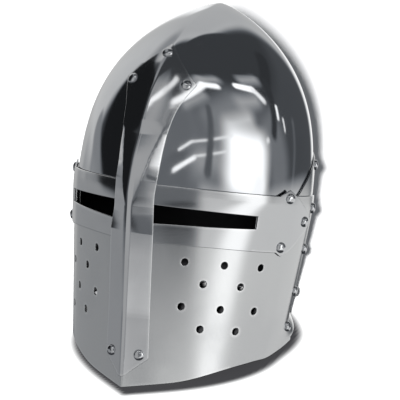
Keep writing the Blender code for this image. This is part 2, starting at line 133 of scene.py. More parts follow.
rimPlaces = np.linspace(0, 2, 801)
rimTable = rimHeight(rimPlaces)


def flaredSkin(place, height):
    # the skin with its rim bent outwards at the sides and the back, most of all just below the rim
    points = bareSkin(place, height)
    rim = np.interp(place, rimPlaces, rimTable) - form["flareBelow"]
    nearRim = ease(1 - (height - rim) / form["flareHeight"])
    spread = form["flareFull"] - form["flareFrom"]
    out = form["flare"] * nearRim * ease((place - form["flareFrom"]) / spread)
    plan = points[..., :2]
    away = plan / np.linalg.norm(plan, axis=-1, keepdims=True)
    return np.concatenate([plan + away * out[..., None], points[..., 2:]], -1)


def flankNormal(place, height):
    # cross product of the skin's slopes along and up, by small differences
    step = 1e-4
    low, high = np.maximum(place - step, 0), np.minimum(place + step, 2)
    along = flaredSkin(high, height) - flaredSkin(low, height)
    up = flaredSkin(place, height + step * 0.1) - flaredSkin(place, height - step * 0.1)
    normal = np.cross(along, up)
    return normal / np.linalg.norm(normal, axis=-1, keepdims=True)


def flank(place, height, out):
    # one side of the skin moved outwards along its normal, mitred where it meets the other side
    points, normal = flaredSkin(place, height), flankNormal(place, height)
    middle = (place <= 0) | (place >= 2)
    flat = np.where(middle[..., None], normal * (0, 1, 1), normal)
    points = points + flat / (flat**2).sum(-1, keepdims=True) * out[..., None]
    points[..., 0] = np.where(middle, 0, points[..., 0])
    return points


def around(place, height, out):
    # any place from -2 to 4: the flank or its mirror image, and between -keelRound and keelRound
    # a quadratic from one flank over the keel to the other, so that the crease is rounded
    place, height, out = np.broadcast_arrays(*(np.asarray(v, float) for v in (place, height, out)))
    signed = (place + 2) % 4 - 2
    side = np.where(signed < 0, -1.0, 1.0)
    points = flank(np.abs(signed), height, out)
    points[..., 0] *= side
    reach = form["keelRound"]
    near = np.abs(signed) < reach
    if near.any():
        h, o = height[near], out[near]
        right, top = flank(np.full(h.shape, reach), h, o), flank(np.zeros(h.shape), h, o)
        left = right * (-1, 1, 1)
        t = ((signed[near] + reach) / (2 * reach))[:, None]
        points[near] = (1 - t) ** 2 * left + 2 * t * (1 - t) * top + t * t * right
    return points


shareTable = np.linspace(0, 1, 4001)
acrossTable = acrossShare(shareTable)


def placeAt(across, height):
    # place at a signed distance from the keel, in front of the widest point
    half = sizesAt(height)[0]
    return np.sign(across) * np.interp(np.abs(across) / half, acrossTable, shareTable)


def lead(share):
    # height for a share of the skull's rise
    return share * form["skullRise"]


def outline(table, place):
    # rise of an edge at a place, straight between the table's points
    return np.interp(np.abs(place), table["place"], table["rise"])


def unit(vectors):
    return vectors / np.maximum(np.linalg.norm(vectors, axis=-1, keepdims=True), 1e-12)


def spread(stops, pitch):
    # values from stop to stop in even steps of about the pitch, every stop kept
    steps = [max(1, int(round(abs(b - a) / pitch))) for a, b in zip(stops, stops[1:])]
    parts = [np.linspace(a, b, n + 1)[:-1] for a, b, n in zip(stops, stops[1:], steps)]
    return np.concatenate(parts + [[stops[-1]]])


def gridQuads(columns, rows, closed=False):
    # one face for each cell of points stored column by column, with columns to the right and rows down
    i, j = np.meshgrid(np.arange(columns if closed else columns - 1), np.arange(rows - 1), indexing="ij")
    here, there = i * rows + j, (i + 1) % columns * rows + j
    return np.stack([here, here + 1, there + 1, there], -1)


def gridSheet(place, height, outOf, skip=None, heightIn=None, closed=False):
    # columns go round the helmet, rows go down it; skip marks the cells that are left open
    place, height = np.broadcast_arrays(place, height)
    quads = gridQuads(*place.shape, closed)
    keep = np.ones(quads.shape[:2], bool) if skip is None else ~skip
    heightIn = height if heightIn is None else heightIn
    return {
        "place": place.ravel(), "height": height.ravel(), "heightIn": heightIn.ravel(), "outOf": outOf,
        "quads": quads, "keep": keep, "extra": [], "shape": place.shape,
    }


def sheetPoint(sheet, place, height, lower=0.0):
    return around(place, height, sheet["outOf"](place, height) - lower)


def sheetNormal(sheet, place, height):
    # cross product of the outer face's slopes along and up
    step = 2e-4
    along = sheetPoint(sheet, place + step, height) - sheetPoint(sheet, place - step, height)
    up = sheetPoint(sheet, place, height + step * 0.2) - sheetPoint(sheet, place, height - step * 0.2)
    return unit(np.cross(along, up))


holeMargin = 0.9 * mm  # least plate between a hole and the border of its block of cells


def roundHole(sheet, place, height, radius, rings=3):
    # a block of cells gives way to rings that pass from its square border to a circle square to the plate
    columns, rows = sheet["shape"]
    if "grid" not in sheet:
        grid = sheetPoint(sheet, sheet["place"][: columns * rows], sheet["height"][: columns * rows])
        sheet["grid"] = grid.reshape(columns, rows, 3)
    grid = sheet["grid"]
    spot = np.array([place]), np.array([height])
    centre, normal = sheetPoint(sheet, *spot)[0], sheetNormal(sheet, *spot)[0]
    level = unit(np.cross((0, 0, 1), normal))
    plane = np.stack([level, np.cross(normal, level)])
    i, j = np.unravel_index(np.argmin(((grid - centre) ** 2).sum(-1)), (columns, rows))
    reach = radius + holeMargin
    wide = int(math.ceil(reach / np.linalg.norm(grid[i + 1, j] - grid[i, j]))) + 1
    tall = int(math.ceil(reach / np.linalg.norm(grid[i, j + 1] - grid[i, j]))) + 1
    left, right, top, foot = i - wide, i + wide, j - tall, j + tall
    down, across = np.arange(top, foot), np.arange(left, right)
    border = np.concatenate([
        left * rows + down, across * rows + foot,
        right * rows + down[::-1] + 1, (across[::-1] + 1) * rows + top,
    ])
    offset = (grid.reshape(-1, 3)[border] - centre) @ plane.T
    target = unit(offset) * radius
    step = 1e-4
    turn = np.stack([
        (sheetPoint(sheet, spot[0] + step, spot[1])[0] - centre) @ plane.T / step,
        (sheetPoint(sheet, spot[0], spot[1] + step)[0] - centre) @ plane.T / step,
    ], 1)
    back = np.linalg.inv(turn)
    found = target @ back.T + (place, height)
    for _ in range(3):
        miss = target - (sheetPoint(sheet, found[:, 0], found[:, 1]) - centre) @ plane.T
        found = found + miss @ back.T
    share = (np.arange(rings) / rings)[:, None]
    borderPlace, borderHeight = sheet["place"][border], sheet["height"][border]
    lower = sheet["heightIn"][border] - borderHeight
    ringPlace = found[:, 0] + (borderPlace - found[:, 0]) * share
    ringHeight = found[:, 1] + (borderHeight - found[:, 1]) * share
    first = len(sheet["place"])
    sheet["place"] = np.concatenate([sheet["place"], ringPlace.ravel()])
    sheet["height"] = np.concatenate([sheet["height"], ringHeight.ravel()])
    sheet["heightIn"] = np.concatenate([sheet["heightIn"], (ringHeight + lower * share).ravel()])
    count = len(border)
    loops = np.concatenate([first + np.arange(rings * count).reshape(rings, count), border[None]])
    ahead = np.roll(loops, -1, axis=1)
    sheet["extra"].append(np.stack([loops[:-1], loops[1:], ahead[1:], ahead[:-1]], -1).reshape(-1, 4))
    sheet["keep"][left:right, top:foot] = False


def nearEdge(points, edge, reach):
    # 1 on the outline, falling to 0 at the reach
    found = np.zeros(len(points), np.float32)
    most = 4000  # points compared at once
    for start in range(0, len(points), most):
        part = points[start : start + most]
        gap = ((part[:, None, :] - edge[None, ::2]) ** 2).sum(-1).min(1)
        found[start : start + most] = np.clip(1 - np.sqrt(gap) / reach, 0, 1)
    return found


def meshObject(name, points, faces, normals, attributes=None):
    mesh = bpy.data.meshes.new(name)
    mesh.from_pydata(points.tolist(), [], faces)
    mesh.polygons.foreach_set("use_smooth", np.ones(len(mesh.polygons), bool))
    for label, values in (attributes or {}).items():
        mesh.attributes.new(label, "FLOAT", "POINT").data.foreach_set("value", values.astype(np.float32))
    mesh.normals_split_custom_set_from_vertices(normals.tolist())
    made = bpy.data.objects.new(name, mesh)
    bpy.context.scene.collection.objects.link(made)
    return made


def shell(name, sheet, pole=None):
    # a plate: outer face, inner face one thickness in, and rings round every edge between them.
    # A ring's point is the middle of the edge + normal * half the thickness * cos + tangent * round * sin,
    # with both powers under 1, which makes the edge square with soft corners.
    thick, bulge = plate["thick"], plate["edgeRound"]
    place, height = sheet["place"], sheet["height"]
    quads = np.concatenate([sheet["quads"][sheet["keep"]]] + sheet["extra"])
    triangles = np.zeros((0, 3), int)
    outer, normal = sheetPoint(sheet, place, height), sheetNormal(sheet, place, height)
    inner = sheetPoint(sheet, place, sheet["heightIn"], thick)
    if pole:
        columns, rows = sheet["shape"]
        first = np.arange(columns) * rows
        triangles = np.stack([np.full(columns, len(outer)), first, np.roll(first, -1)], -1)
        outer, inner = np.vstack([outer, pole["outer"]]), np.vstack([inner, pole["inner"]])
        normal = np.vstack([normal, (0, 0, 1)])
    used, packed = np.unique(np.concatenate([quads.ravel(), triangles.ravel()]), return_inverse=True)
    quads, triangles = packed[: quads.size].reshape(-1, 4), packed[quads.size :].reshape(-1, 3)
    outer, inner, normal = outer[used], inner[used], normal[used]
    count = len(used)
    ends = [np.stack([f, np.roll(f, -1, axis=1)], -1).reshape(-1, 2) for f in (quads, triangles)]
    ends = np.concatenate(ends)
    lone = ~np.isin(ends[:, 0] * count + ends[:, 1], ends[:, 1] * count + ends[:, 0])
    a, b = ends[lone].T
    out = unit(np.cross(outer[b] - outer[a], normal[a] + normal[b]))
    total = np.zeros((count, 3))
    np.add.at(total, a, out)
    np.add.at(total, b, out)
    rim = np.unique(a)
    size = np.linalg.norm(total[rim], axis=-1, keepdims=True)
    reach = total[rim] / size * np.minimum(2 / size, plate["cornerMost"]) * bulge
    # an edge draws back by less where the cells next to it are small
    length = np.linalg.norm(outer[ends[:, 0]] - outer[ends[:, 1]], axis=-1)
    onRim = np.isin(ends, rim)
    room = np.full(count, 1.0)
    np.minimum.at(room, ends[onRim[:, 0] & ~onRim[:, 1], 0], length[onRim[:, 0] & ~onRim[:, 1]])
    np.minimum.at(room, ends[onRim[:, 1] & ~onRim[:, 0], 1], length[onRim[:, 1] & ~onRim[:, 0]])
    reach *= np.minimum(1, plate["roomShare"] * room[rim] / bulge)[:, None]
    border = outer[rim].copy()
    outer[rim] -= reach
    inner[rim] -= reach
    middle, half = (outer[rim] + inner[rim]) / 2, (outer[rim] - inner[rim]) / 2
    power, turns = plate["edgeSquare"], plate["edgeRings"]
    angles = math.pi * np.arange(1, turns + 1) / (turns + 1)
    c, s = np.cos(angles)[:, None, None], np.sin(angles)[:, None, None]
    rings = middle + half * np.sign(c) * np.abs(c) ** power + reach * s**power
    facing = normal[rim] * np.sign(c) * np.abs(c) ** (2 - power) / thick * 2
    bent = unit(facing + unit(reach) * s ** (2 - power) / bulge)
    points = np.concatenate([outer, inner, rings.reshape(-1, 3)])
    normals = np.concatenate([normal, -normal, bent.reshape(-1, 3)])
    order = np.zeros(count, int)
    order[rim] = np.arange(len(rim))
    edge = len(rim)
    levels = [rim] + [2 * count + k * edge + np.arange(edge) for k in range(turns)] + [rim + count]
    first, last = order[a], order[b]
    pairs = zip(levels, levels[1:])
    bands = [np.stack([up[last], up[first], low[first], low[last]], -1) for up, low in pairs]
    faces = np.concatenate([quads, quads[:, ::-1] + count] + bands).tolist()
    faces += triangles.tolist() + (triangles[:, ::-1] + count).tolist()
    # lighter near the border, partly from wear and partly as a painted sheen along the edges
    edgeWearAndSheen = nearEdge(points, border, plate["wearAndSheenReach"])
    # painted shade: a hole's wall darkens inwards, as the inner face, which is painted near black as the
    # shade inside
    ofHole = used[rim] >= sheet["shape"][0] * sheet["shape"][1]
    inward = np.outer(np.arange(turns) / (turns - 1), ofHole).ravel()
    inside = np.concatenate([np.zeros(count), np.ones(count), inward])
    points = points @ tiltTurn.T + tiltMove
    made = meshObject(name, points, faces, normals @ tiltTurn.T, {"edgeNear": edgeWearAndSheen, "inside": inside})
    print(name, "made:", len(made.data.polygons), "faces")
    return made


def rimFor(place, out):
    # height at which a face lying that far off the skin meets the rim's level
    folded = np.abs((place + 2) % 4 - 2)
    height = np.interp(folded, rimPlaces, rimTable)
    bump = np.clip((folded - form["reliefFrom"]) / (form["reliefTo"] - form["reliefFrom"]), 0, 1)
    level = form["relief"] * np.sin(math.pi * bump) ** 2 + plate["overFloor"]
    for _ in range(8):
        z = (around(place, height, out) @ tiltTurn.T + tiltMove)[..., 2]
        height = height + (level - z) / math.cos(form["tipBack"])
    return height


# Skull: a closed dome. Rows are spaced evenly along its side profile, so that they stay even over the top.
skull = {
    "edgeRise": 0.0275, "pitch": 2.0 * mm, "topRadius": 0.03, "columns": 300, "keelColumns": 3,
    "samples": 6001,
}
keel = form["keelRound"]


def skullHeights():
    # heights at even steps of the length along the profile, where the half width is topRadius and below
    share = 1 - np.linspace(0, 1, skull["samples"]) ** 3
    span = form["profileTo"] - form["profileFrom"]
    rise = (form["profileFrom"] + share * span) * form["skullRise"]
    half = form["halfWidth"] * (1 - share ** form["sidePower"]) ** form["sideRoot"]
    run = np.concatenate([[0], np.cumsum(np.hypot(np.diff(half), np.diff(rise)))])
    lowest = run[np.argmin(np.abs(rise - lead(skull["edgeRise"])))]
    first = np.interp(skull["topRadius"], half / form["halfWidth"], run)
    return np.interp(np.linspace(first, lowest, int((lowest - first) / skull["pitch"])), run, rise)


def skullOut(place, height):
    return plate["skullOut"] + 0 * place


def mirrored(places):
    # places from the keel to the right, and the same to the left before them
    return np.concatenate([-places[:0:-1], places])


skullPlaces = np.concatenate([
    np.linspace(0, keel, skull["keelColumns"] + 1)[:-1], np.linspace(keel, 2, skull["columns"] // 2),
])
skullPlaces = mirrored(skullPlaces)[:-1]
skullTop = lead(form["profileTo"])
apexY = float(bareSkin(np.array(1.0), np.array(skullTop))[1])
skullSheet = gridSheet(skullPlaces[:, None], skullHeights()[None, :], skullOut, closed=True)
skullPiece = shell("skull", skullSheet, {
    "outer": (0, apexY, skullTop + plate["skullOut"]),
    "inner": (0, apexY, skullTop + plate["skullOut"] - plate["thick"]),
})

# Lower plates: the foot of the band, below which their rows share out the way to the rim
lowerPlates = {"from": -0.157, "pitch": 0.016, "backRows": (42, 56), "faceRows": (9, 8, 9, 62)}


def downToRim(places, outOf, upper, count):
    # the rows above and the rows down to the rim, for the outer and for the inner face
    low = lead(lowerPlates["from"])
    rims = [rimFor(places, outOf(places, 0) - lower) for lower in (0, plate["thick"])]
    rows = np.linspace(0, 1, count)[None, 1:]
    return [np.concatenate([upper, low + rows * (rim[:, None] - low)], 1) for rim in rims]


# Back plate: from the side of the face, under the face plate's edge, round the back to the other side.
backPlate = {
    "from": 0.894, "out": plate["skullOut"] + plate["layer"], "soft": 0.03,
    "top": {"place": (0.894, 0.985, 1.04, 1.17, 1.42, 2.0), "rise": (0.1, 0.2, 0.243, 0.3, 0.35, 0.4)},
}


def backOut(place, height):
    return backPlate["out"] + 0 * place


def backTop(place):
    # the top edge's table with its corners softened: the mean of seven readings round the place
    folded = np.where(place > 2, 4 - place, place)
    near = np.linspace(-backPlate["soft"], backPlate["soft"], 7)
    return lead(np.mean([outline(backPlate["top"], np.minimum(folded + d, 2)) for d in near], 0))[:, None]


backPlaces = spread((backPlate["from"], 2, 4 - backPlate["from"]), lowerPlates["pitch"])
backUpper = np.linspace(0, 1, lowerPlates["backRows"][0])[None, :]
backUpper = backTop(backPlaces) + backUpper * (lead(lowerPlates["from"]) - backTop(backPlaces))
backHeights = downToRim(backPlaces, backOut, backUpper, lowerPlates["backRows"][1])
backSheet = gridSheet(backPlaces[:, None], backHeights[0], backOut, heightIn=backHeights[1])
backPiece = shell("back_plate", backSheet)

# Face plate: lies on the skull in front and steps up over the back plate at the side.
facePlate = {
    "to": 1.17, "stepFrom": 0.8, "stepWidth": 0.094, "breathRadius": 3.3 * mm, "pitch": 0.0125, "bend": 0.94,
    "top": {"place": (0.77, 0.8, 0.832, 0.894), "rise": (0.1055, 0.118, 0.131, 0.12)},
    "breaths": {
        -0.2375: (0.388, 0.64, 0.845), -0.336: (0.514, 0.742),
        -0.452: (0.38, 0.63, 0.82), -0.555: (0.51, 0.727),
    },
}
sight = {
    "from": 0.07, "to": 0.652, "margin": 0.006,
    "top": {"place": (0, 0.652, 0.985, 1.04), "rise": (0.0205, 0.011, 0.011, 0.002)},
    "foot": {"place": (0, 0.652, 0.985, 1.04), "rise": (-0.073, -0.0495, -0.03, -0.01)},
}


def faceOut(place, height):
    # one layer over the skull, and two past the step
    folded = np.abs((place + 2) % 4 - 2)
    stepped = ease((folded - facePlate["stepFrom"]) / facePlate["stepWidth"])
    return plate["skullOut"] + plate["layer"] * (1 + stepped)


def sightCells(places, counts, rows):
    # cells between the two levels of the sight, from its inner to its outer end
    middle = (np.abs(places[1:]) + np.abs(places[:-1])) / 2
    inside = (middle > sight["from"]) & (middle < sight["to"])
    skip = np.zeros((len(places) - 1, rows - 1), bool)
    skip[inside, counts[0] : counts[0] + counts[1]] = True
    return skip


def stackedRows(levels, counts):
    # rows of heights between the levels, each level one value a column
    parts = [
        low[:, None] + np.linspace(0, 1, n + 1)[None, :-1] * (high - low)[:, None]
        for low, high, n in zip(levels, levels[1:], counts)
    ]
    return np.concatenate(parts + [levels[-1][:, None]], 1)


def keeled(stops, pitch):
    # places to both sides from the rounded keel to the last stop
    return mirrored(np.concatenate([np.linspace(0, keel, 3), spread((keel, *stops), pitch)[1:]]))


def faceLevels(places):
    # top edge, top and foot of the wider opening behind the sight, and the foot of the band
    top, foot = outline(sight["top"], places), outline(sight["foot"], places)
    low = np.full(len(places), lead(lowerPlates["from"]))
    edge = lead(outline(facePlate["top"], places))
    return edge, lead(top + sight["margin"]), lead(foot - sight["margin"]), low


*upperRows, rimRows = lowerPlates["faceRows"]
facePlaces = keeled((sight["from"], sight["to"], facePlate["bend"], facePlate["to"]), facePlate["pitch"])
faceUpper = stackedRows(faceLevels(facePlaces), upperRows)
faceHeights = downToRim(facePlaces, faceOut, faceUpper, rimRows)
faceOpen = sightCells(facePlaces, upperRows, faceHeights[0].shape[1])
faceSheet = gridSheet(facePlaces[:, None], faceHeights[0], faceOut, faceOpen, faceHeights[1])
for level, row in facePlate["breaths"].items():
    for across in row:
        for side in (1, -1):
            place = float(placeAt(side * across * form["halfWidth"], lead(level)))
            roundHole(faceSheet, place, lead(level), facePlate["breathRadius"])
facePiece = shell("face_plate", faceSheet)

# Sight band: the upright rows follow its arms' outline out to the blunt tips.
sightBand = {
    "stops": (sight["from"], sight["to"], 0.77, 0.8, 0.832, 0.894, 0.985, 1.04),
    "pitch": 0.0105, "rows": (12, 8, 12),
    "top": {
        "place": (0, 0.77, 0.8, 0.832, 0.894, 0.985, 1.04),
        "rise": (0.1135, 0.115, 0.13, 0.1465, 0.109, 0.044, 0.006),
    },
    "foot": {
        "place": (0, 0.46, 0.8, 0.832, 0.894, 0.985, 1.04),
        "rise": (-0.162, -0.157, -0.16, -0.177, -0.141, -0.06, -0.018),
    },
}


def bandOut(place, height):
    # one layer over the face plate
    return faceOut(place, height) + plate["layer"]


bandPlaces = keeled(sightBand["stops"], sightBand["pitch"])
bandEdges = (sightBand["top"], sight["top"], sight["foot"], sightBand["foot"])
bandHeights = stackedRows([lead(outline(edge, bandPlaces)) for edge in bandEdges], sightBand["rows"])
bandOpen = sightCells(bandPlaces, sightBand["rows"], bandHeights.shape[1])
bandSheet = gridSheet(bandPlaces[:, None], bandHeights, bandOut, bandOpen)
bandPiece = shell("sight_band", bandSheet)

# Nasal bar: its columns are shares of its half width, from edge to edge over the keel.
bar = {
    "rise": (-0.815, -0.72, 0.19, 0.59, 0.767), "half": (0.01, 0.1775, 0.158, 0.158, 0.01),
    "cornerHalf": 0.302, "spread": 2.2, "columns": 32, "crowd": 0.35, "pitch": 0.008,
    "layers": {
        "rise": (-0.5, -0.2, -0.08, 0.2, 0.26, 0.32, 0.4, 0.46),
        "plates": (1, 2, 2.3, 2.4, 1.9, 1.1, 0.25, 0), "soft": 0.024,
    },
    "fold": {
        "rise": (0, 0.05, 0.12, 0.24, 0.375, 0.5), "across": (0, 0.028, 0.056, 0.1, 0.17, 0.25),
        "soft": 0.7 * mm, "inward": 0.4,
    },
    "bend": {"rise": (-0.12, -0.03, 0.12, 0.2, 0.34, 0.4), "slope": (0, 0.12, 0.18, 0.36, 0.36, 0)},
    "swell": {"half": 0.02, "from": 0.04, "grown": 0.2, "to": 0.5, "gone": 0.22},
}


def barHalf(share):
    # straight from foot to waist, then a power curve up to the corner, straight to the tip, and a low swell
    _, _, waist, corner, tip = bar["rise"]
    grown = np.clip((share - waist) / (corner - waist), 0, 1) ** bar["spread"]
    fall = np.clip((tip - share) / (tip - corner), 0, 1)
    bulge = bar["swell"]
    swell = ease((share - bulge["from"]) / bulge["grown"]) * ease((bulge["to"] - share) / bulge["gone"])
    straight = np.interp(share, bar["rise"], bar["half"])
    return straight + (bar["cornerHalf"] - bar["half"][2]) * grown * fall + bulge["half"] * swell


def barOut(place, height):
    # layers under the bar, less what its two folds take away: the middle between them is turned to the
    # front and the edges beyond them to the side. A fold is half of (hypot(distance, soft) +- distance).
    share = height / form["skullRise"]
    layers, fold = bar["layers"], bar["fold"]
    near = np.linspace(-layers["soft"], layers["soft"], 5)
    plates = np.mean([np.interp(share + d, layers["rise"], layers["plates"]) for d in near], 0)
    across = acrossShare(np.clip(np.abs(place), 0, 1)) * form["halfWidth"]
    beyond = across - np.interp(share, fold["rise"], fold["across"]) * form["halfWidth"]
    bend = np.interp(share, bar["bend"]["rise"], bar["bend"]["slope"])
    away = np.hypot(beyond, fold["soft"])
    low = bend * fold["inward"] * (away - beyond) / 2 + bend * (away + beyond) / 2
    return plate["skullOut"] + plate["layer"] * plates + plate["barGap"] + plate["thick"] - low


def barPlacing():
    # columns crowd towards the keel: the even step times its size to the power crowd
    shares = spread(bar["rise"][::-1], bar["pitch"])
    even = np.linspace(-1, 1, bar["columns"] + 1)
    columns = even * np.abs(even) ** bar["crowd"]
    heights = lead(shares)[None, :] + 0 * columns[:, None]
    return placeAt(columns[:, None] * (barHalf(shares) * form["halfWidth"])[None, :], heights), heights


barSheet = gridSheet(*barPlacing(), barOut)
barPiece = shell("nasal_bar", barSheet)

# Rivets: a domed head, a shank through the plates and a flattened foot inside.
rivet = {
    "radius": 5.0 * mm, "height": 3.1 * mm, "shank": 2.0 * mm, "foot": 3.8 * mm, "footHeight": 1.3 * mm,
    "steps": 44, "rings": 15, "square": 2.3, "beat": 0.05, "lean": 0.06, "skirt": 0.1 * mm,
    "sharpFrom": math.radians(40),
}
# Each rivet's place and rise. The bar's are across and up, and the back's lie a drop below its top edge.
# layers says how many layers of plate the shank goes through.
rivetSpots = {
    "top": 0.725, "bar": {"upper": (0.232, 0.585), "lower": (0.112, -0.703)},
    "arm": {"upper": (0.834, 0.105), "lower": (0.826, -0.132), "tip": (0.972, -0.004)},
    "seam": {"place": 1.125, "rises": (0.058, -0.147, -0.362, -0.545)},
    "back": {"places": (1.2, 1.47, 1.74), "drop": 0.038},
    "layers": {"top": 2.3, "bar": 2.2, "arm": 3, "seam": 2.6, "back": 2},
}


def rivetFrame(sheet, place, height):
    # origin on the plate, with axes level, up the plate and outwards
    spot = np.array([float(place)]), np.array([float(height)])
    origin, normal = sheetPoint(sheet, *spot)[0], sheetNormal(sheet, *spot)[0]
    if abs(place) < 1e-6 or abs(place - 2) < 1e-6:
        normal = unit(normal * (0, 1, 1))
    level = unit(np.cross((0, 0, 1), normal))
    return origin, np.stack([level, np.cross(normal, level), normal])


def rivetPiece(name, sheet, place, height, deep, nodes, seed):
    # a profile turned round: head (superellipse), shank, foot. The radius is beaten a little out of round,
    # by two and three waves a turn, and the head leans by one.
    origin, axes = rivetFrame(sheet, place, height)
    t = np.linspace(0, math.pi / 2, rivet["rings"])
    power = 2 / rivet["square"]
    head = np.stack([rivet["radius"] * np.sin(t) ** power, rivet["height"] * np.cos(t) ** power], -1)
    head[-1, 1] = rivet["skirt"]
    shank, foot, low = rivet["shank"], rivet["foot"], -deep - rivet["skirt"]
    under = low - rivet["footHeight"]
    rest = np.array([
        (rivet["radius"] * 0.985, 0.0), (shank, 0.0), (shank, low), (foot, low),
        (foot * 0.97, low - 0.5 * mm), (foot * 0.7, low - rivet["footHeight"] * 0.9),
    ])
    profile = np.concatenate([head[1:], rest])
    turns, rows = rivet["steps"], len(profile)
    angle = np.linspace(0, 2 * math.pi, turns, endpoint=False)[:, None]
    a, b, c = np.random.default_rng(seed).uniform(0, 2 * math.pi, 3)
    outOfRound = 1 + rivet["beat"] * (0.5 * np.cos(2 * angle + a) + 0.3 * np.cos(3 * angle + b))
    r = profile[:, 0] * outOfRound
    z = profile[:, 1] * (1 + rivet["lean"] * np.cos(angle + c) * (profile[:, 1] > 2 * rivet["skirt"]))
    local = np.stack([r * np.cos(angle), r * np.sin(angle), z + 0 * r], -1).reshape(-1, 3)
    local = np.vstack([local, (0, 0, rivet["height"]), (0, 0, under)])
    start = np.arange(turns) * rows
    ahead = np.roll(start, -1)
    headCap = np.stack([np.full(turns, turns * rows), start, ahead], -1)
    footCap = np.stack([np.full(turns, turns * rows + 1), ahead + rows - 1, start + rows - 1], -1)
    quads = gridQuads(turns, rows, closed=True).reshape(-1, 4)
    faces = quads.tolist() + headCap.tolist() + footCap.tolist()
    points = (origin + local @ axes) @ tiltTurn.T + tiltMove
    mesh = bpy.data.meshes.new(name)
    mesh.from_pydata(points.tolist(), [], faces)
    mesh.polygons.foreach_set("use_smooth", np.ones(len(mesh.polygons), bool))
    mesh.set_sharp_from_angle(angle=rivet["sharpFrom"])
    made = bpy.data.objects.new(name, mesh)
    bpy.context.scene.collection.objects.link(made)
    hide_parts(nodes)
    return made


rivets = []


def addRivet(label, sheet, place, height, kind, seed):
    deep = rivetSpots["layers"][kind] * plate["layer"]
    rivets.append(rivetPiece("dome_" + label, sheet, place, height, deep, "rivet_" + label, seed))


def bothRivets(label, sheet, place, height, kind):
    addRivet(label + "_right", sheet, place, height, kind, len(rivets) + 5)
    other = 4 - place if sheet is backSheet else -place
    addRivet(label + "_left", sheet, other, height, kind, len(rivets) + 5)


addRivet("bar_top", barSheet, 0, lead(rivetSpots["top"]), "top", 3)
for label, (across, level) in rivetSpots["bar"].items():
    place = float(placeAt(across * form["halfWidth"], lead(level)))
    bothRivets("bar_" + label, barSheet, place, lead(level), "bar")
for label, (place, level) in rivetSpots["arm"].items():
    bothRivets("arm_" + label, bandSheet, place, lead(level), "arm")
for number, level in enumerate(rivetSpots["seam"]["rises"], 1):
    bothRivets(f"seam_{number}", faceSheet, rivetSpots["seam"]["place"], lead(level), "seam")
for number, place in enumerate(rivetSpots["back"]["places"], 1):
    level = float(outline(backPlate["top"], place)) - rivetSpots["back"]["drop"]
    bothRivets(f"back_{number}", backSheet, place, lead(level), "back")
level = backPlate["top"]["rise"][-1] - rivetSpots["back"]["drop"]
addRivet("back_middle", backSheet, 2, lead(level), "back", 4)
print("rivets made:", len(rivets))

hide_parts("skull_right", "skull_left")
lowerPieces = {
    "back_plate": backPiece, "face_plate": facePiece, "sight_band": bandPiece, "nasal_bar": barPiece,
}
for node, piece in lowerPieces.items():
    piece.name = node + "_sheet"
    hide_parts(node)
skullPiece.name = "skull_sheet"
plates = [skullPiece, *lowerPieces.values()]
for piece in plates + rivets:
    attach(piece, body)


# Materials
class Socket:
    # a node's output that takes part in plain arithmetic, each operator one Math node
    def __init__(self, nodes, link):
        self.nodes, self.link = nodes, link

    def math(self, operation, *others):
        return self.nodes.add("ShaderNodeMath", {"operation": operation}, dict(enumerate((self, *others))))

    def __add__(self, other):
        return self.math("ADD", other)

    def __radd__(self, other):
        return self.math("ADD", other)

    def __sub__(self, other):
        return self.math("SUBTRACT", other)

    def __rsub__(self, other):
        return (self * -1).math("ADD", other)

    def __mul__(self, other):
        return self.math("MULTIPLY", other)

    def __rmul__(self, other):
        return self.math("MULTIPLY", other)

    def __pow__(self, other):
        return self.math("POWER", other)

    def between(self, low, high):
        # 0 below low, 1 above high, smooth between
        inputs = {"Value": self, "From Min": low, "From Max": high}
        return self.nodes.add("ShaderNodeMapRange", {"interpolation_type": "SMOOTHSTEP"}, inputs)


class Nodes:
    # the node tree of a material, a light or the world, emptied
    def __init__(self, owner):
        self.tree = owner.node_tree
        self.tree.nodes.clear()

    def add(self, kind, settings=None, inputs=None, output=0):
        made = self.tree.nodes.new(kind)
        for key, value in (settings or {}).items():
            setattr(made, key, value)
        for key, value in (inputs or {}).items():
            if isinstance(value, Socket):
                self.tree.links.new(value.link, made.inputs[key])
            else:
                made.inputs[key].default_value = value
        return Socket(self, made.outputs[output]) if len(made.outputs) else None

    def noise(self, coordinates, scale, detail, rough):
        inputs = {"Vector": coordinates, "Scale": scale, "Detail": detail, "Roughness": rough}
        return self.add("ShaderNodeTexNoise", {}, inputs)

    def colourMix(self, factor, a, b):
        # Mix node's colour sockets: factor 0, A 6, B 7, result 2
        return self.add("ShaderNodeMix", {"data_type": "RGBA"}, {0: factor, 6: a, 7: b}, output=2)


# What the finishes share: clouds of duller polish, edges lighter partly from wear and partly as a painted
# sheen, and the inside painted near black as shade. cloud is its noise's scale, detail and roughness, fine
# and wave are detail and roughness, dull and the edge lightening are ranges.
polish = {
    "cloud": (14.0, 3.0, 0.55), "fine": (4.0, 0.6), "wave": (1.5, 0.4),
    "dull": (0.42, 0.72), "dullMost": 0.5,
    "wearAndSheen": (0.55, 0.98), "wearAndSheenBreak": 0.5, "wearAndSheenMix": 0.6, "wearAndSheenRough": 0.05,
    "wearAndSheenColour": (0.86, 0.87, 0.88),
    # the inside's near-black colour is painted shade for the inner face and the hole walls
    "insideShadeColour": (0.06, 0.06, 0.065), "insideRough": 0.25,
}


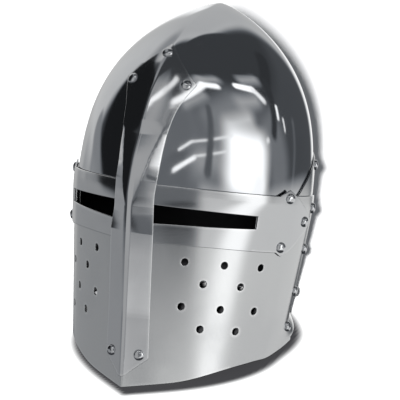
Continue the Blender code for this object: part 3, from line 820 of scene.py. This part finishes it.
def steel(name, look):
    made = bpy.data.materials.new(name)
    made.use_nodes = True
    n = Nodes(made)
    at = n.add("ShaderNodeTexCoord", output=3)
    grain = n.add("ShaderNodeMapping", {}, {"Vector": at, "Scale": look["grain"]})
    fine = n.noise(grain, look["grainScale"], *polish["fine"])
    cloud = n.noise(at, *polish["cloud"])
    wave = n.noise(at, look["waveScale"], *polish["wave"])
    edgeNear = n.add("ShaderNodeAttribute", {"attribute_name": "edgeNear"}, output=2)
    # inside marks the inner face and the hole walls, which get painted shade
    inside = n.add("ShaderNodeAttribute", {"attribute_name": "inside"}, output=2)
    # edges lighter in colour: partly wear, partly a painted sheen that stands in for edge highlights
    wearAndSheen = (edgeNear + (cloud - 0.5) * polish["wearAndSheenBreak"]).between(*polish["wearAndSheen"])
    dull = cloud.between(*polish["dull"])
    tint = n.colourMix(dull * polish["dullMost"], (*look["bright"], 1), (*look["dull"], 1))
    # the light edge colour: wear and painted sheen
    tint = n.colourMix(wearAndSheen * polish["wearAndSheenMix"], tint, (*polish["wearAndSheenColour"], 1))
    # painted shade: near black on the inside
    tint = n.colourMix(inside, tint, (*polish["insideShadeColour"], 1))
    rough = (fine - 0.5) * look["grainRough"] + dull * look["dullRough"] + look["rough"]
    rough = rough + wearAndSheen * polish["wearAndSheenRough"] + inside * polish["insideRough"]
    height = fine * look["grainDeep"] + wave * look["waveDeep"]
    bump = n.add("ShaderNodeBump", {}, {"Height": height, "Distance": 1.0, "Strength": 1.0})
    shader = n.add("ShaderNodeBsdfPrincipled", {}, {
        "Base Color": tint, "Metallic": 1.0, "Roughness": rough, "Normal": bump,
    })
    n.add("ShaderNodeOutputMaterial", {}, {"Surface": shader})
    return made


# One look for each finish. The grain's coordinates are shrunk along the brushing, and depths are in metres.
looks = {
    "mirror": {
        "bright": (0.63, 0.645, 0.67), "dull": (0.57, 0.585, 0.61), "rough": 0.05, "dullRough": 0.035,
        "grain": (1.0, 1.0, 0.25), "grainScale": 420.0, "grainRough": 0.03, "grainDeep": 0.0000006,
        "waveScale": 26.0, "waveDeep": 0.00008,
    },
    "satin": {
        "bright": (0.64, 0.65, 0.66), "dull": (0.58, 0.59, 0.605), "rough": 0.15, "dullRough": 0.05,
        "grain": (1.0, 1.0, 0.06), "grainScale": 900.0, "grainRough": 0.08, "grainDeep": 0.0000012,
        "waveScale": 22.0, "waveDeep": 0.00006,
    },
    "band": {
        "bright": (0.64, 0.65, 0.665), "dull": (0.57, 0.58, 0.595), "rough": 0.1, "dullRough": 0.04,
        "grain": (0.08, 0.08, 1.0), "grainScale": 900.0, "grainRough": 0.06, "grainDeep": 0.000001,
        "waveScale": 24.0, "waveDeep": 0.00006,
    },
    "bar": {
        "bright": (0.63, 0.64, 0.66), "dull": (0.56, 0.57, 0.59), "rough": 0.09, "dullRough": 0.05,
        "grain": (1.0, 1.0, 0.06), "grainScale": 900.0, "grainRough": 0.05, "grainDeep": 0.0000008,
        "waveScale": 24.0, "waveDeep": 0.0001,
    },
    "rivet": {
        "bright": (0.66, 0.67, 0.69), "dull": (0.5, 0.51, 0.53), "rough": 0.12, "dullRough": 0.08,
        "grain": (1.0, 1.0, 1.0), "grainScale": 500.0, "grainRough": 0.1, "grainDeep": 0.000008,
        "waveScale": 240.0, "waveDeep": 0.00006,
    },
}
finishes = {label: steel(label + "_steel", look) for label, look in looks.items()}
for piece, label in zip(plates, ("mirror", "satin", "satin", "band", "bar")):
    piece.data.materials.append(finishes[label])
for piece in rivets:
    piece.data.materials.append(finishes["rivet"])
print("materials made:", len(finishes))

# Camera, floor and studio
camera = bpy.data.objects.new("camera", bpy.data.cameras.new("camera"))
camera.data.lens, camera.data.sensor_width = 164.144, 36.0
camera.matrix_world = Matrix((
    (0.91428, -0.1412, 0.37968, 0.66347), (0.40498, 0.33979, -0.84884, -1.4503),
    (-0.00916, 0.92984, 0.36785, 0.75852), (0, 0, 0, 1),
))
bpy.context.scene.collection.objects.link(camera)
bpy.context.scene.camera = camera

# Floor: a plain sheet with a painted shadow, darker where the helmet stands on it. The attribute clear falls
# from 1 to 0 at the foot, by the distance from the foot's outline moved a little towards the camera and to
# the right, which sets the painted shadow's place.
floorLook = {
    "side": 1.7, "middle": 1.0, "near": 0.3, "lines": 181, "below": 0.0004,
    "reach": 0.014, "start": 0.15, "shift": (0.008, -0.0095),
    # pale is the floor's colour, shade the colour of the painted shadow
    "pale": (0.95, 0.95, 0.95, 1), "shade": (0.03, 0.03, 0.032, 1),
}


def floorPiece():
    foot = flaredSkin(rimPlaces, rimTable) @ tiltTurn.T + tiltMove
    footTurn, footReach = np.arctan2(foot[:, 0], -foot[:, 1]), np.hypot(foot[:, 0], foot[:, 1])
    near, far = floorLook["near"], [floorLook["middle"], floorLook["side"]]
    lines = np.concatenate([[-v for v in far[::-1]], np.linspace(-near, near, floorLook["lines"]), far])
    x, y = np.meshgrid(lines, lines, indexing="ij")
    fromX, fromY = x - floorLook["shift"][0], y - floorLook["shift"][1]
    gap = np.hypot(fromX, fromY) - np.interp(np.arctan2(np.abs(fromX), -fromY), footTurn, footReach)
    # painted shadow: clear is 0 under the foot, rising to 1 within the reach outside it
    clear = ease(gap / floorLook["reach"] + floorLook["start"])
    corners = np.stack([x, y, np.full(x.shape, -floorLook["below"])], -1).reshape(-1, 3)
    # turned over, so that the faces look up
    quads = gridQuads(len(lines), len(lines)).reshape(-1, 4)[:, [0, 3, 2, 1]]
    mesh = bpy.data.meshes.new("floor")
    mesh.from_pydata(corners.tolist(), [], quads.tolist())
    values = clear.ravel().astype(np.float32)
    mesh.attributes.new("clear", "FLOAT", "POINT").data.foreach_set("value", values)
    made = bpy.data.objects.new("floor", mesh)
    bpy.context.scene.collection.objects.link(made)
    return made


def paleFloor():
    made = bpy.data.materials.new("pale_floor")
    made.use_nodes = True
    n = Nodes(made)
    clear = n.add("ShaderNodeAttribute", {"attribute_name": "clear"}, output=2)
    # painted shadow: the shade colour where clear is 0, pale where it is 1
    colour = n.colourMix(clear, floorLook["shade"], floorLook["pale"])
    shader = n.add("ShaderNodeBsdfDiffuse", {}, {"Color": colour})
    n.add("ShaderNodeOutputMaterial", {}, {"Surface": shader})
    return made


floor = floorPiece()
floor.visible_glossy = False
floor.data.materials.append(paleFloor())
print("floor made")

# Studio: panels and tubes of light, and dark ones, round the helmet, seen in the steel alone. Directions
# are the bearing in degrees (from the front, -Y, towards +X, 300 to 360 given as -60 to 0) and the height
# over the horizon. The room's own light shows where no shape covers it, and dim light is a little cooler.
# A panel has its middle, half its width and height and its turn, a tube its two ends and half its width, and
# then each has how soft its edge is and how bright it is. Later ones lie in front of earlier ones.
studio = {
    "room": 0.06, "floorLight": 0.14, "background": 1.0, "from": -60,
    "cool": (0.94, 1.0, 1.08, 1), "warm": (1, 1, 0.99, 1), "warmAt": 0.6,
    "shapes": (
        ("panel", (0, 20), (36, 60), 0, 12, 0.5),  # front wall
        ("panel", (-44, -2), (16, 8), 0, 6, 0.06),
        ("panel", (0, 57), (14, 8), 0, 12, 0.14),
        ("panel", (48, 32), (12, 16), 0, 5, 0.2),
        ("panel", (83, 30), (22, 14), 0, 10, 0.3),
        ("tube", (62, 61), (90, 61), 6, 7, 0.42),
        ("tube", (56, 47), (76, 49), 3, 9, 0.5),
        ("tube", (92, 61), (103, 54), 3, 9, 0.55),
        ("tube", (121, 41), (130, 34), 3, 8, 0.5),
        ("tube", (102, 33), (114, 28), 4, 12, 0.55),
        ("tube", (82, 26), (98, 23), 3, 14, 0.95),
        ("tube", (44, 52), (86, 57), 3.2, 3, 1.7),  # overhead tubes
        ("tube", (86, 57), (96, 50), 2.6, 3, 1.7),
        ("tube", (8, 60), (28, 66), 4, 4, 1.6),
        ("tube", (28, 66), (58, 74), 3.5, 4, 1.2),
        ("tube", (111, 42), (120, 33), 2.2, 2, 1.9),
        ("tube", (120, 33), (121, 24), 1.8, 2, 1.4),
        ("tube", (36.6, 12), (38, 48), 0.5, 1.4, 0.9),
        ("panel", (50, 3), (14, 13), 0, 3, 0.18),
        ("panel", (140, -4), (36, 24), 0, 6, 0.09),  # dark doorway
        ("panel", (114, 4), (10, 16), 0, 6, 0.24),
        ("panel", (60, 12.5), (8, 5.5), 0, 5, 0.44),
        ("panel", (86, 6), (15, 13), -25, 7, 2.0),  # large box
        ("tube", (46, 19), (53, 21.5), 0.7, 1.0, 1.5),  # edges of blinds
        ("tube", (53, 21.5), (80, 19.5), 0.6, 1.0, 1.3),
        ("tube", (44, 11.5), (53, 14), 0.9, 1.0, 1.6),
        ("tube", (53, 14.5), (72, 13.4), 0.5, 1.0, 1.2),
        ("tube", (73, 40), (59, 8), 2.0, 1.6, 0.13),  # stands
        ("tube", (155, 28), (136, 27), 4, 3, 0.045),
        ("tube", (136, 27), (115, 9), 2.6, 3, 0.05),
        ("tube", (128.5, 16), (125, 12), 1.0, 1.2, 1.6),
        ("tube", (129.5, 9), (127.5, 5), 0.8, 1.2, 1.3),
        ("panel", (107, 9), (1.5, 1), 0, 1, 1.2),
        ("tube", (140, 2), (131, -13), 1.5, 3, 0.16),
        ("panel", (213, 18), (36, 40), 0, 4, 0.68),  # left wall
        ("panel", (200, 22), (22, 33), 0, 8, 0.58),
        ("panel", (208, -2), (3, 14), 0, 3, 1.2),
        ("panel", (236, 38), (18, 7), 0, 6, 0.36),
        ("tube", (170, 48), (192, 68), 6, 3, 0.06),
        ("panel", (262, 62), (30, 9), 0, 4, 0.35),
        ("panel", (272, 20), (24, 31), 22, 2, 0.015),  # black flag
        ("tube", (246, -5), (263, -12), 3.5, 2.5, 0.3),
        ("panel", (225, -18), (50, 6), 0, 4, 0.5),
        ("panel", (258, -19), (24, 7), 0, 4, 0.36),
        ("panel", (288, -20), (14, 9), 0, 6, 0.36),
        ("panel", (-46, -20), (18, 9), 0, 6, 0.4),
        ("panel", (112, -22), (62, 13), -13, 2.5, 0.76),  # lit ground
        ("tube", (92, -3), (56, -18), 5, 6, 1.5),
        ("panel", (46, -8), (5, 4), 0, 3, 0.02),
        ("panel", (45.5, -20), (9, 10.5), 0, 4.5, 0.86),
        ("panel", (190, -14), (10, 10), 0, 4, 1.1),  # light behind
    ),
}
world = bpy.data.worlds.new("studio")
bpy.context.scene.world = world
world.use_nodes = True
n = Nodes(world)
towards = n.add("ShaderNodeTexCoord")
x, y, z = (n.add("ShaderNodeSeparateXYZ", {}, {"Vector": towards}, output=k) for k in range(3))
bearing = x.math("ARCTAN2", y * -1) * (180 / math.pi)
bearing = bearing + bearing.math("LESS_THAN", studio["from"]) * 360
over = z.math("ARCSINE") * (180 / math.pi)


def panelMask(middle, size, turn, soft):
    # distances from the middle along the panel's own two axes, each faded past half its size
    c, s = math.cos(math.radians(turn)), math.sin(math.radians(turn))
    along, up = bearing - middle[0], over - middle[1]
    u, v = (along * c + up * s).math("ABSOLUTE"), (up * c - along * s).math("ABSOLUTE")
    return (1 - u.between(size[0] - soft, size[0] + soft)) * (1 - v.between(size[1] - soft, size[1] + soft))


def tubeMask(start, end, half, soft):
    # distance from the nearest point of the line between the ends
    dx, dy = end[0] - start[0], end[1] - start[1]
    along, up = bearing - start[0], over - start[1]
    t = ((along * dx + up * dy) * (1 / (dx * dx + dy * dy))).math("MAXIMUM", 0).math("MINIMUM", 1)
    away = ((along - t * dx) ** 2 + (up - t * dy) ** 2).math("SQRT")
    return 1 - away.between(half - soft / 2, half + soft / 2)


light = studio["room"]
for kind, *shape, soft, bright in studio["shapes"]:
    cover = (panelMask if kind == "panel" else tubeMask)(*shape, soft)
    light = cover * bright + (1 - cover) * light
inSteel = n.add("ShaderNodeLightPath", output=3)
seen = n.add("ShaderNodeLightPath", output=0)
plain = studio["floorLight"] + seen * (studio["background"] - studio["floorLight"])
strength = plain * (1 - inSteel) + light * inSteel
tone = n.colourMix(strength.between(0, studio["warmAt"]), studio["cool"], studio["warm"])
sky = n.add("ShaderNodeBackground", {}, {"Color": tone, "Strength": strength})
n.add("ShaderNodeOutputWorld", {}, {"Surface": sky})

# Floor light: close to the camera, a little to its left, as strong on the whole floor
lampLook = {"strength": 165.0, "size": 0.022, "place": (-0.04, 0.014, 0)}
lamp = bpy.data.objects.new("floor_lamp", bpy.data.lights.new("floor_lamp", "POINT"))
lamp.data.energy = lampLook["strength"]
lamp.data.shadow_soft_size = lampLook["size"]
lamp.data.use_nodes = True
n = Nodes(lamp.data)
even = n.add("ShaderNodeLightFalloff", {}, {"Strength": 1.0}, output=2)
glow = n.add("ShaderNodeEmission", {}, {"Strength": even})
n.add("ShaderNodeOutputLight", {}, {"Surface": glow})
lamp.visible_glossy = False
lamp.location = camera.matrix_world @ Vector(lampLook["place"])
bpy.context.scene.collection.objects.link(lamp)
bpy.context.scene.view_settings.view_transform = "Standard"
print("studio made:", len(studio["shapes"]), "shapes")
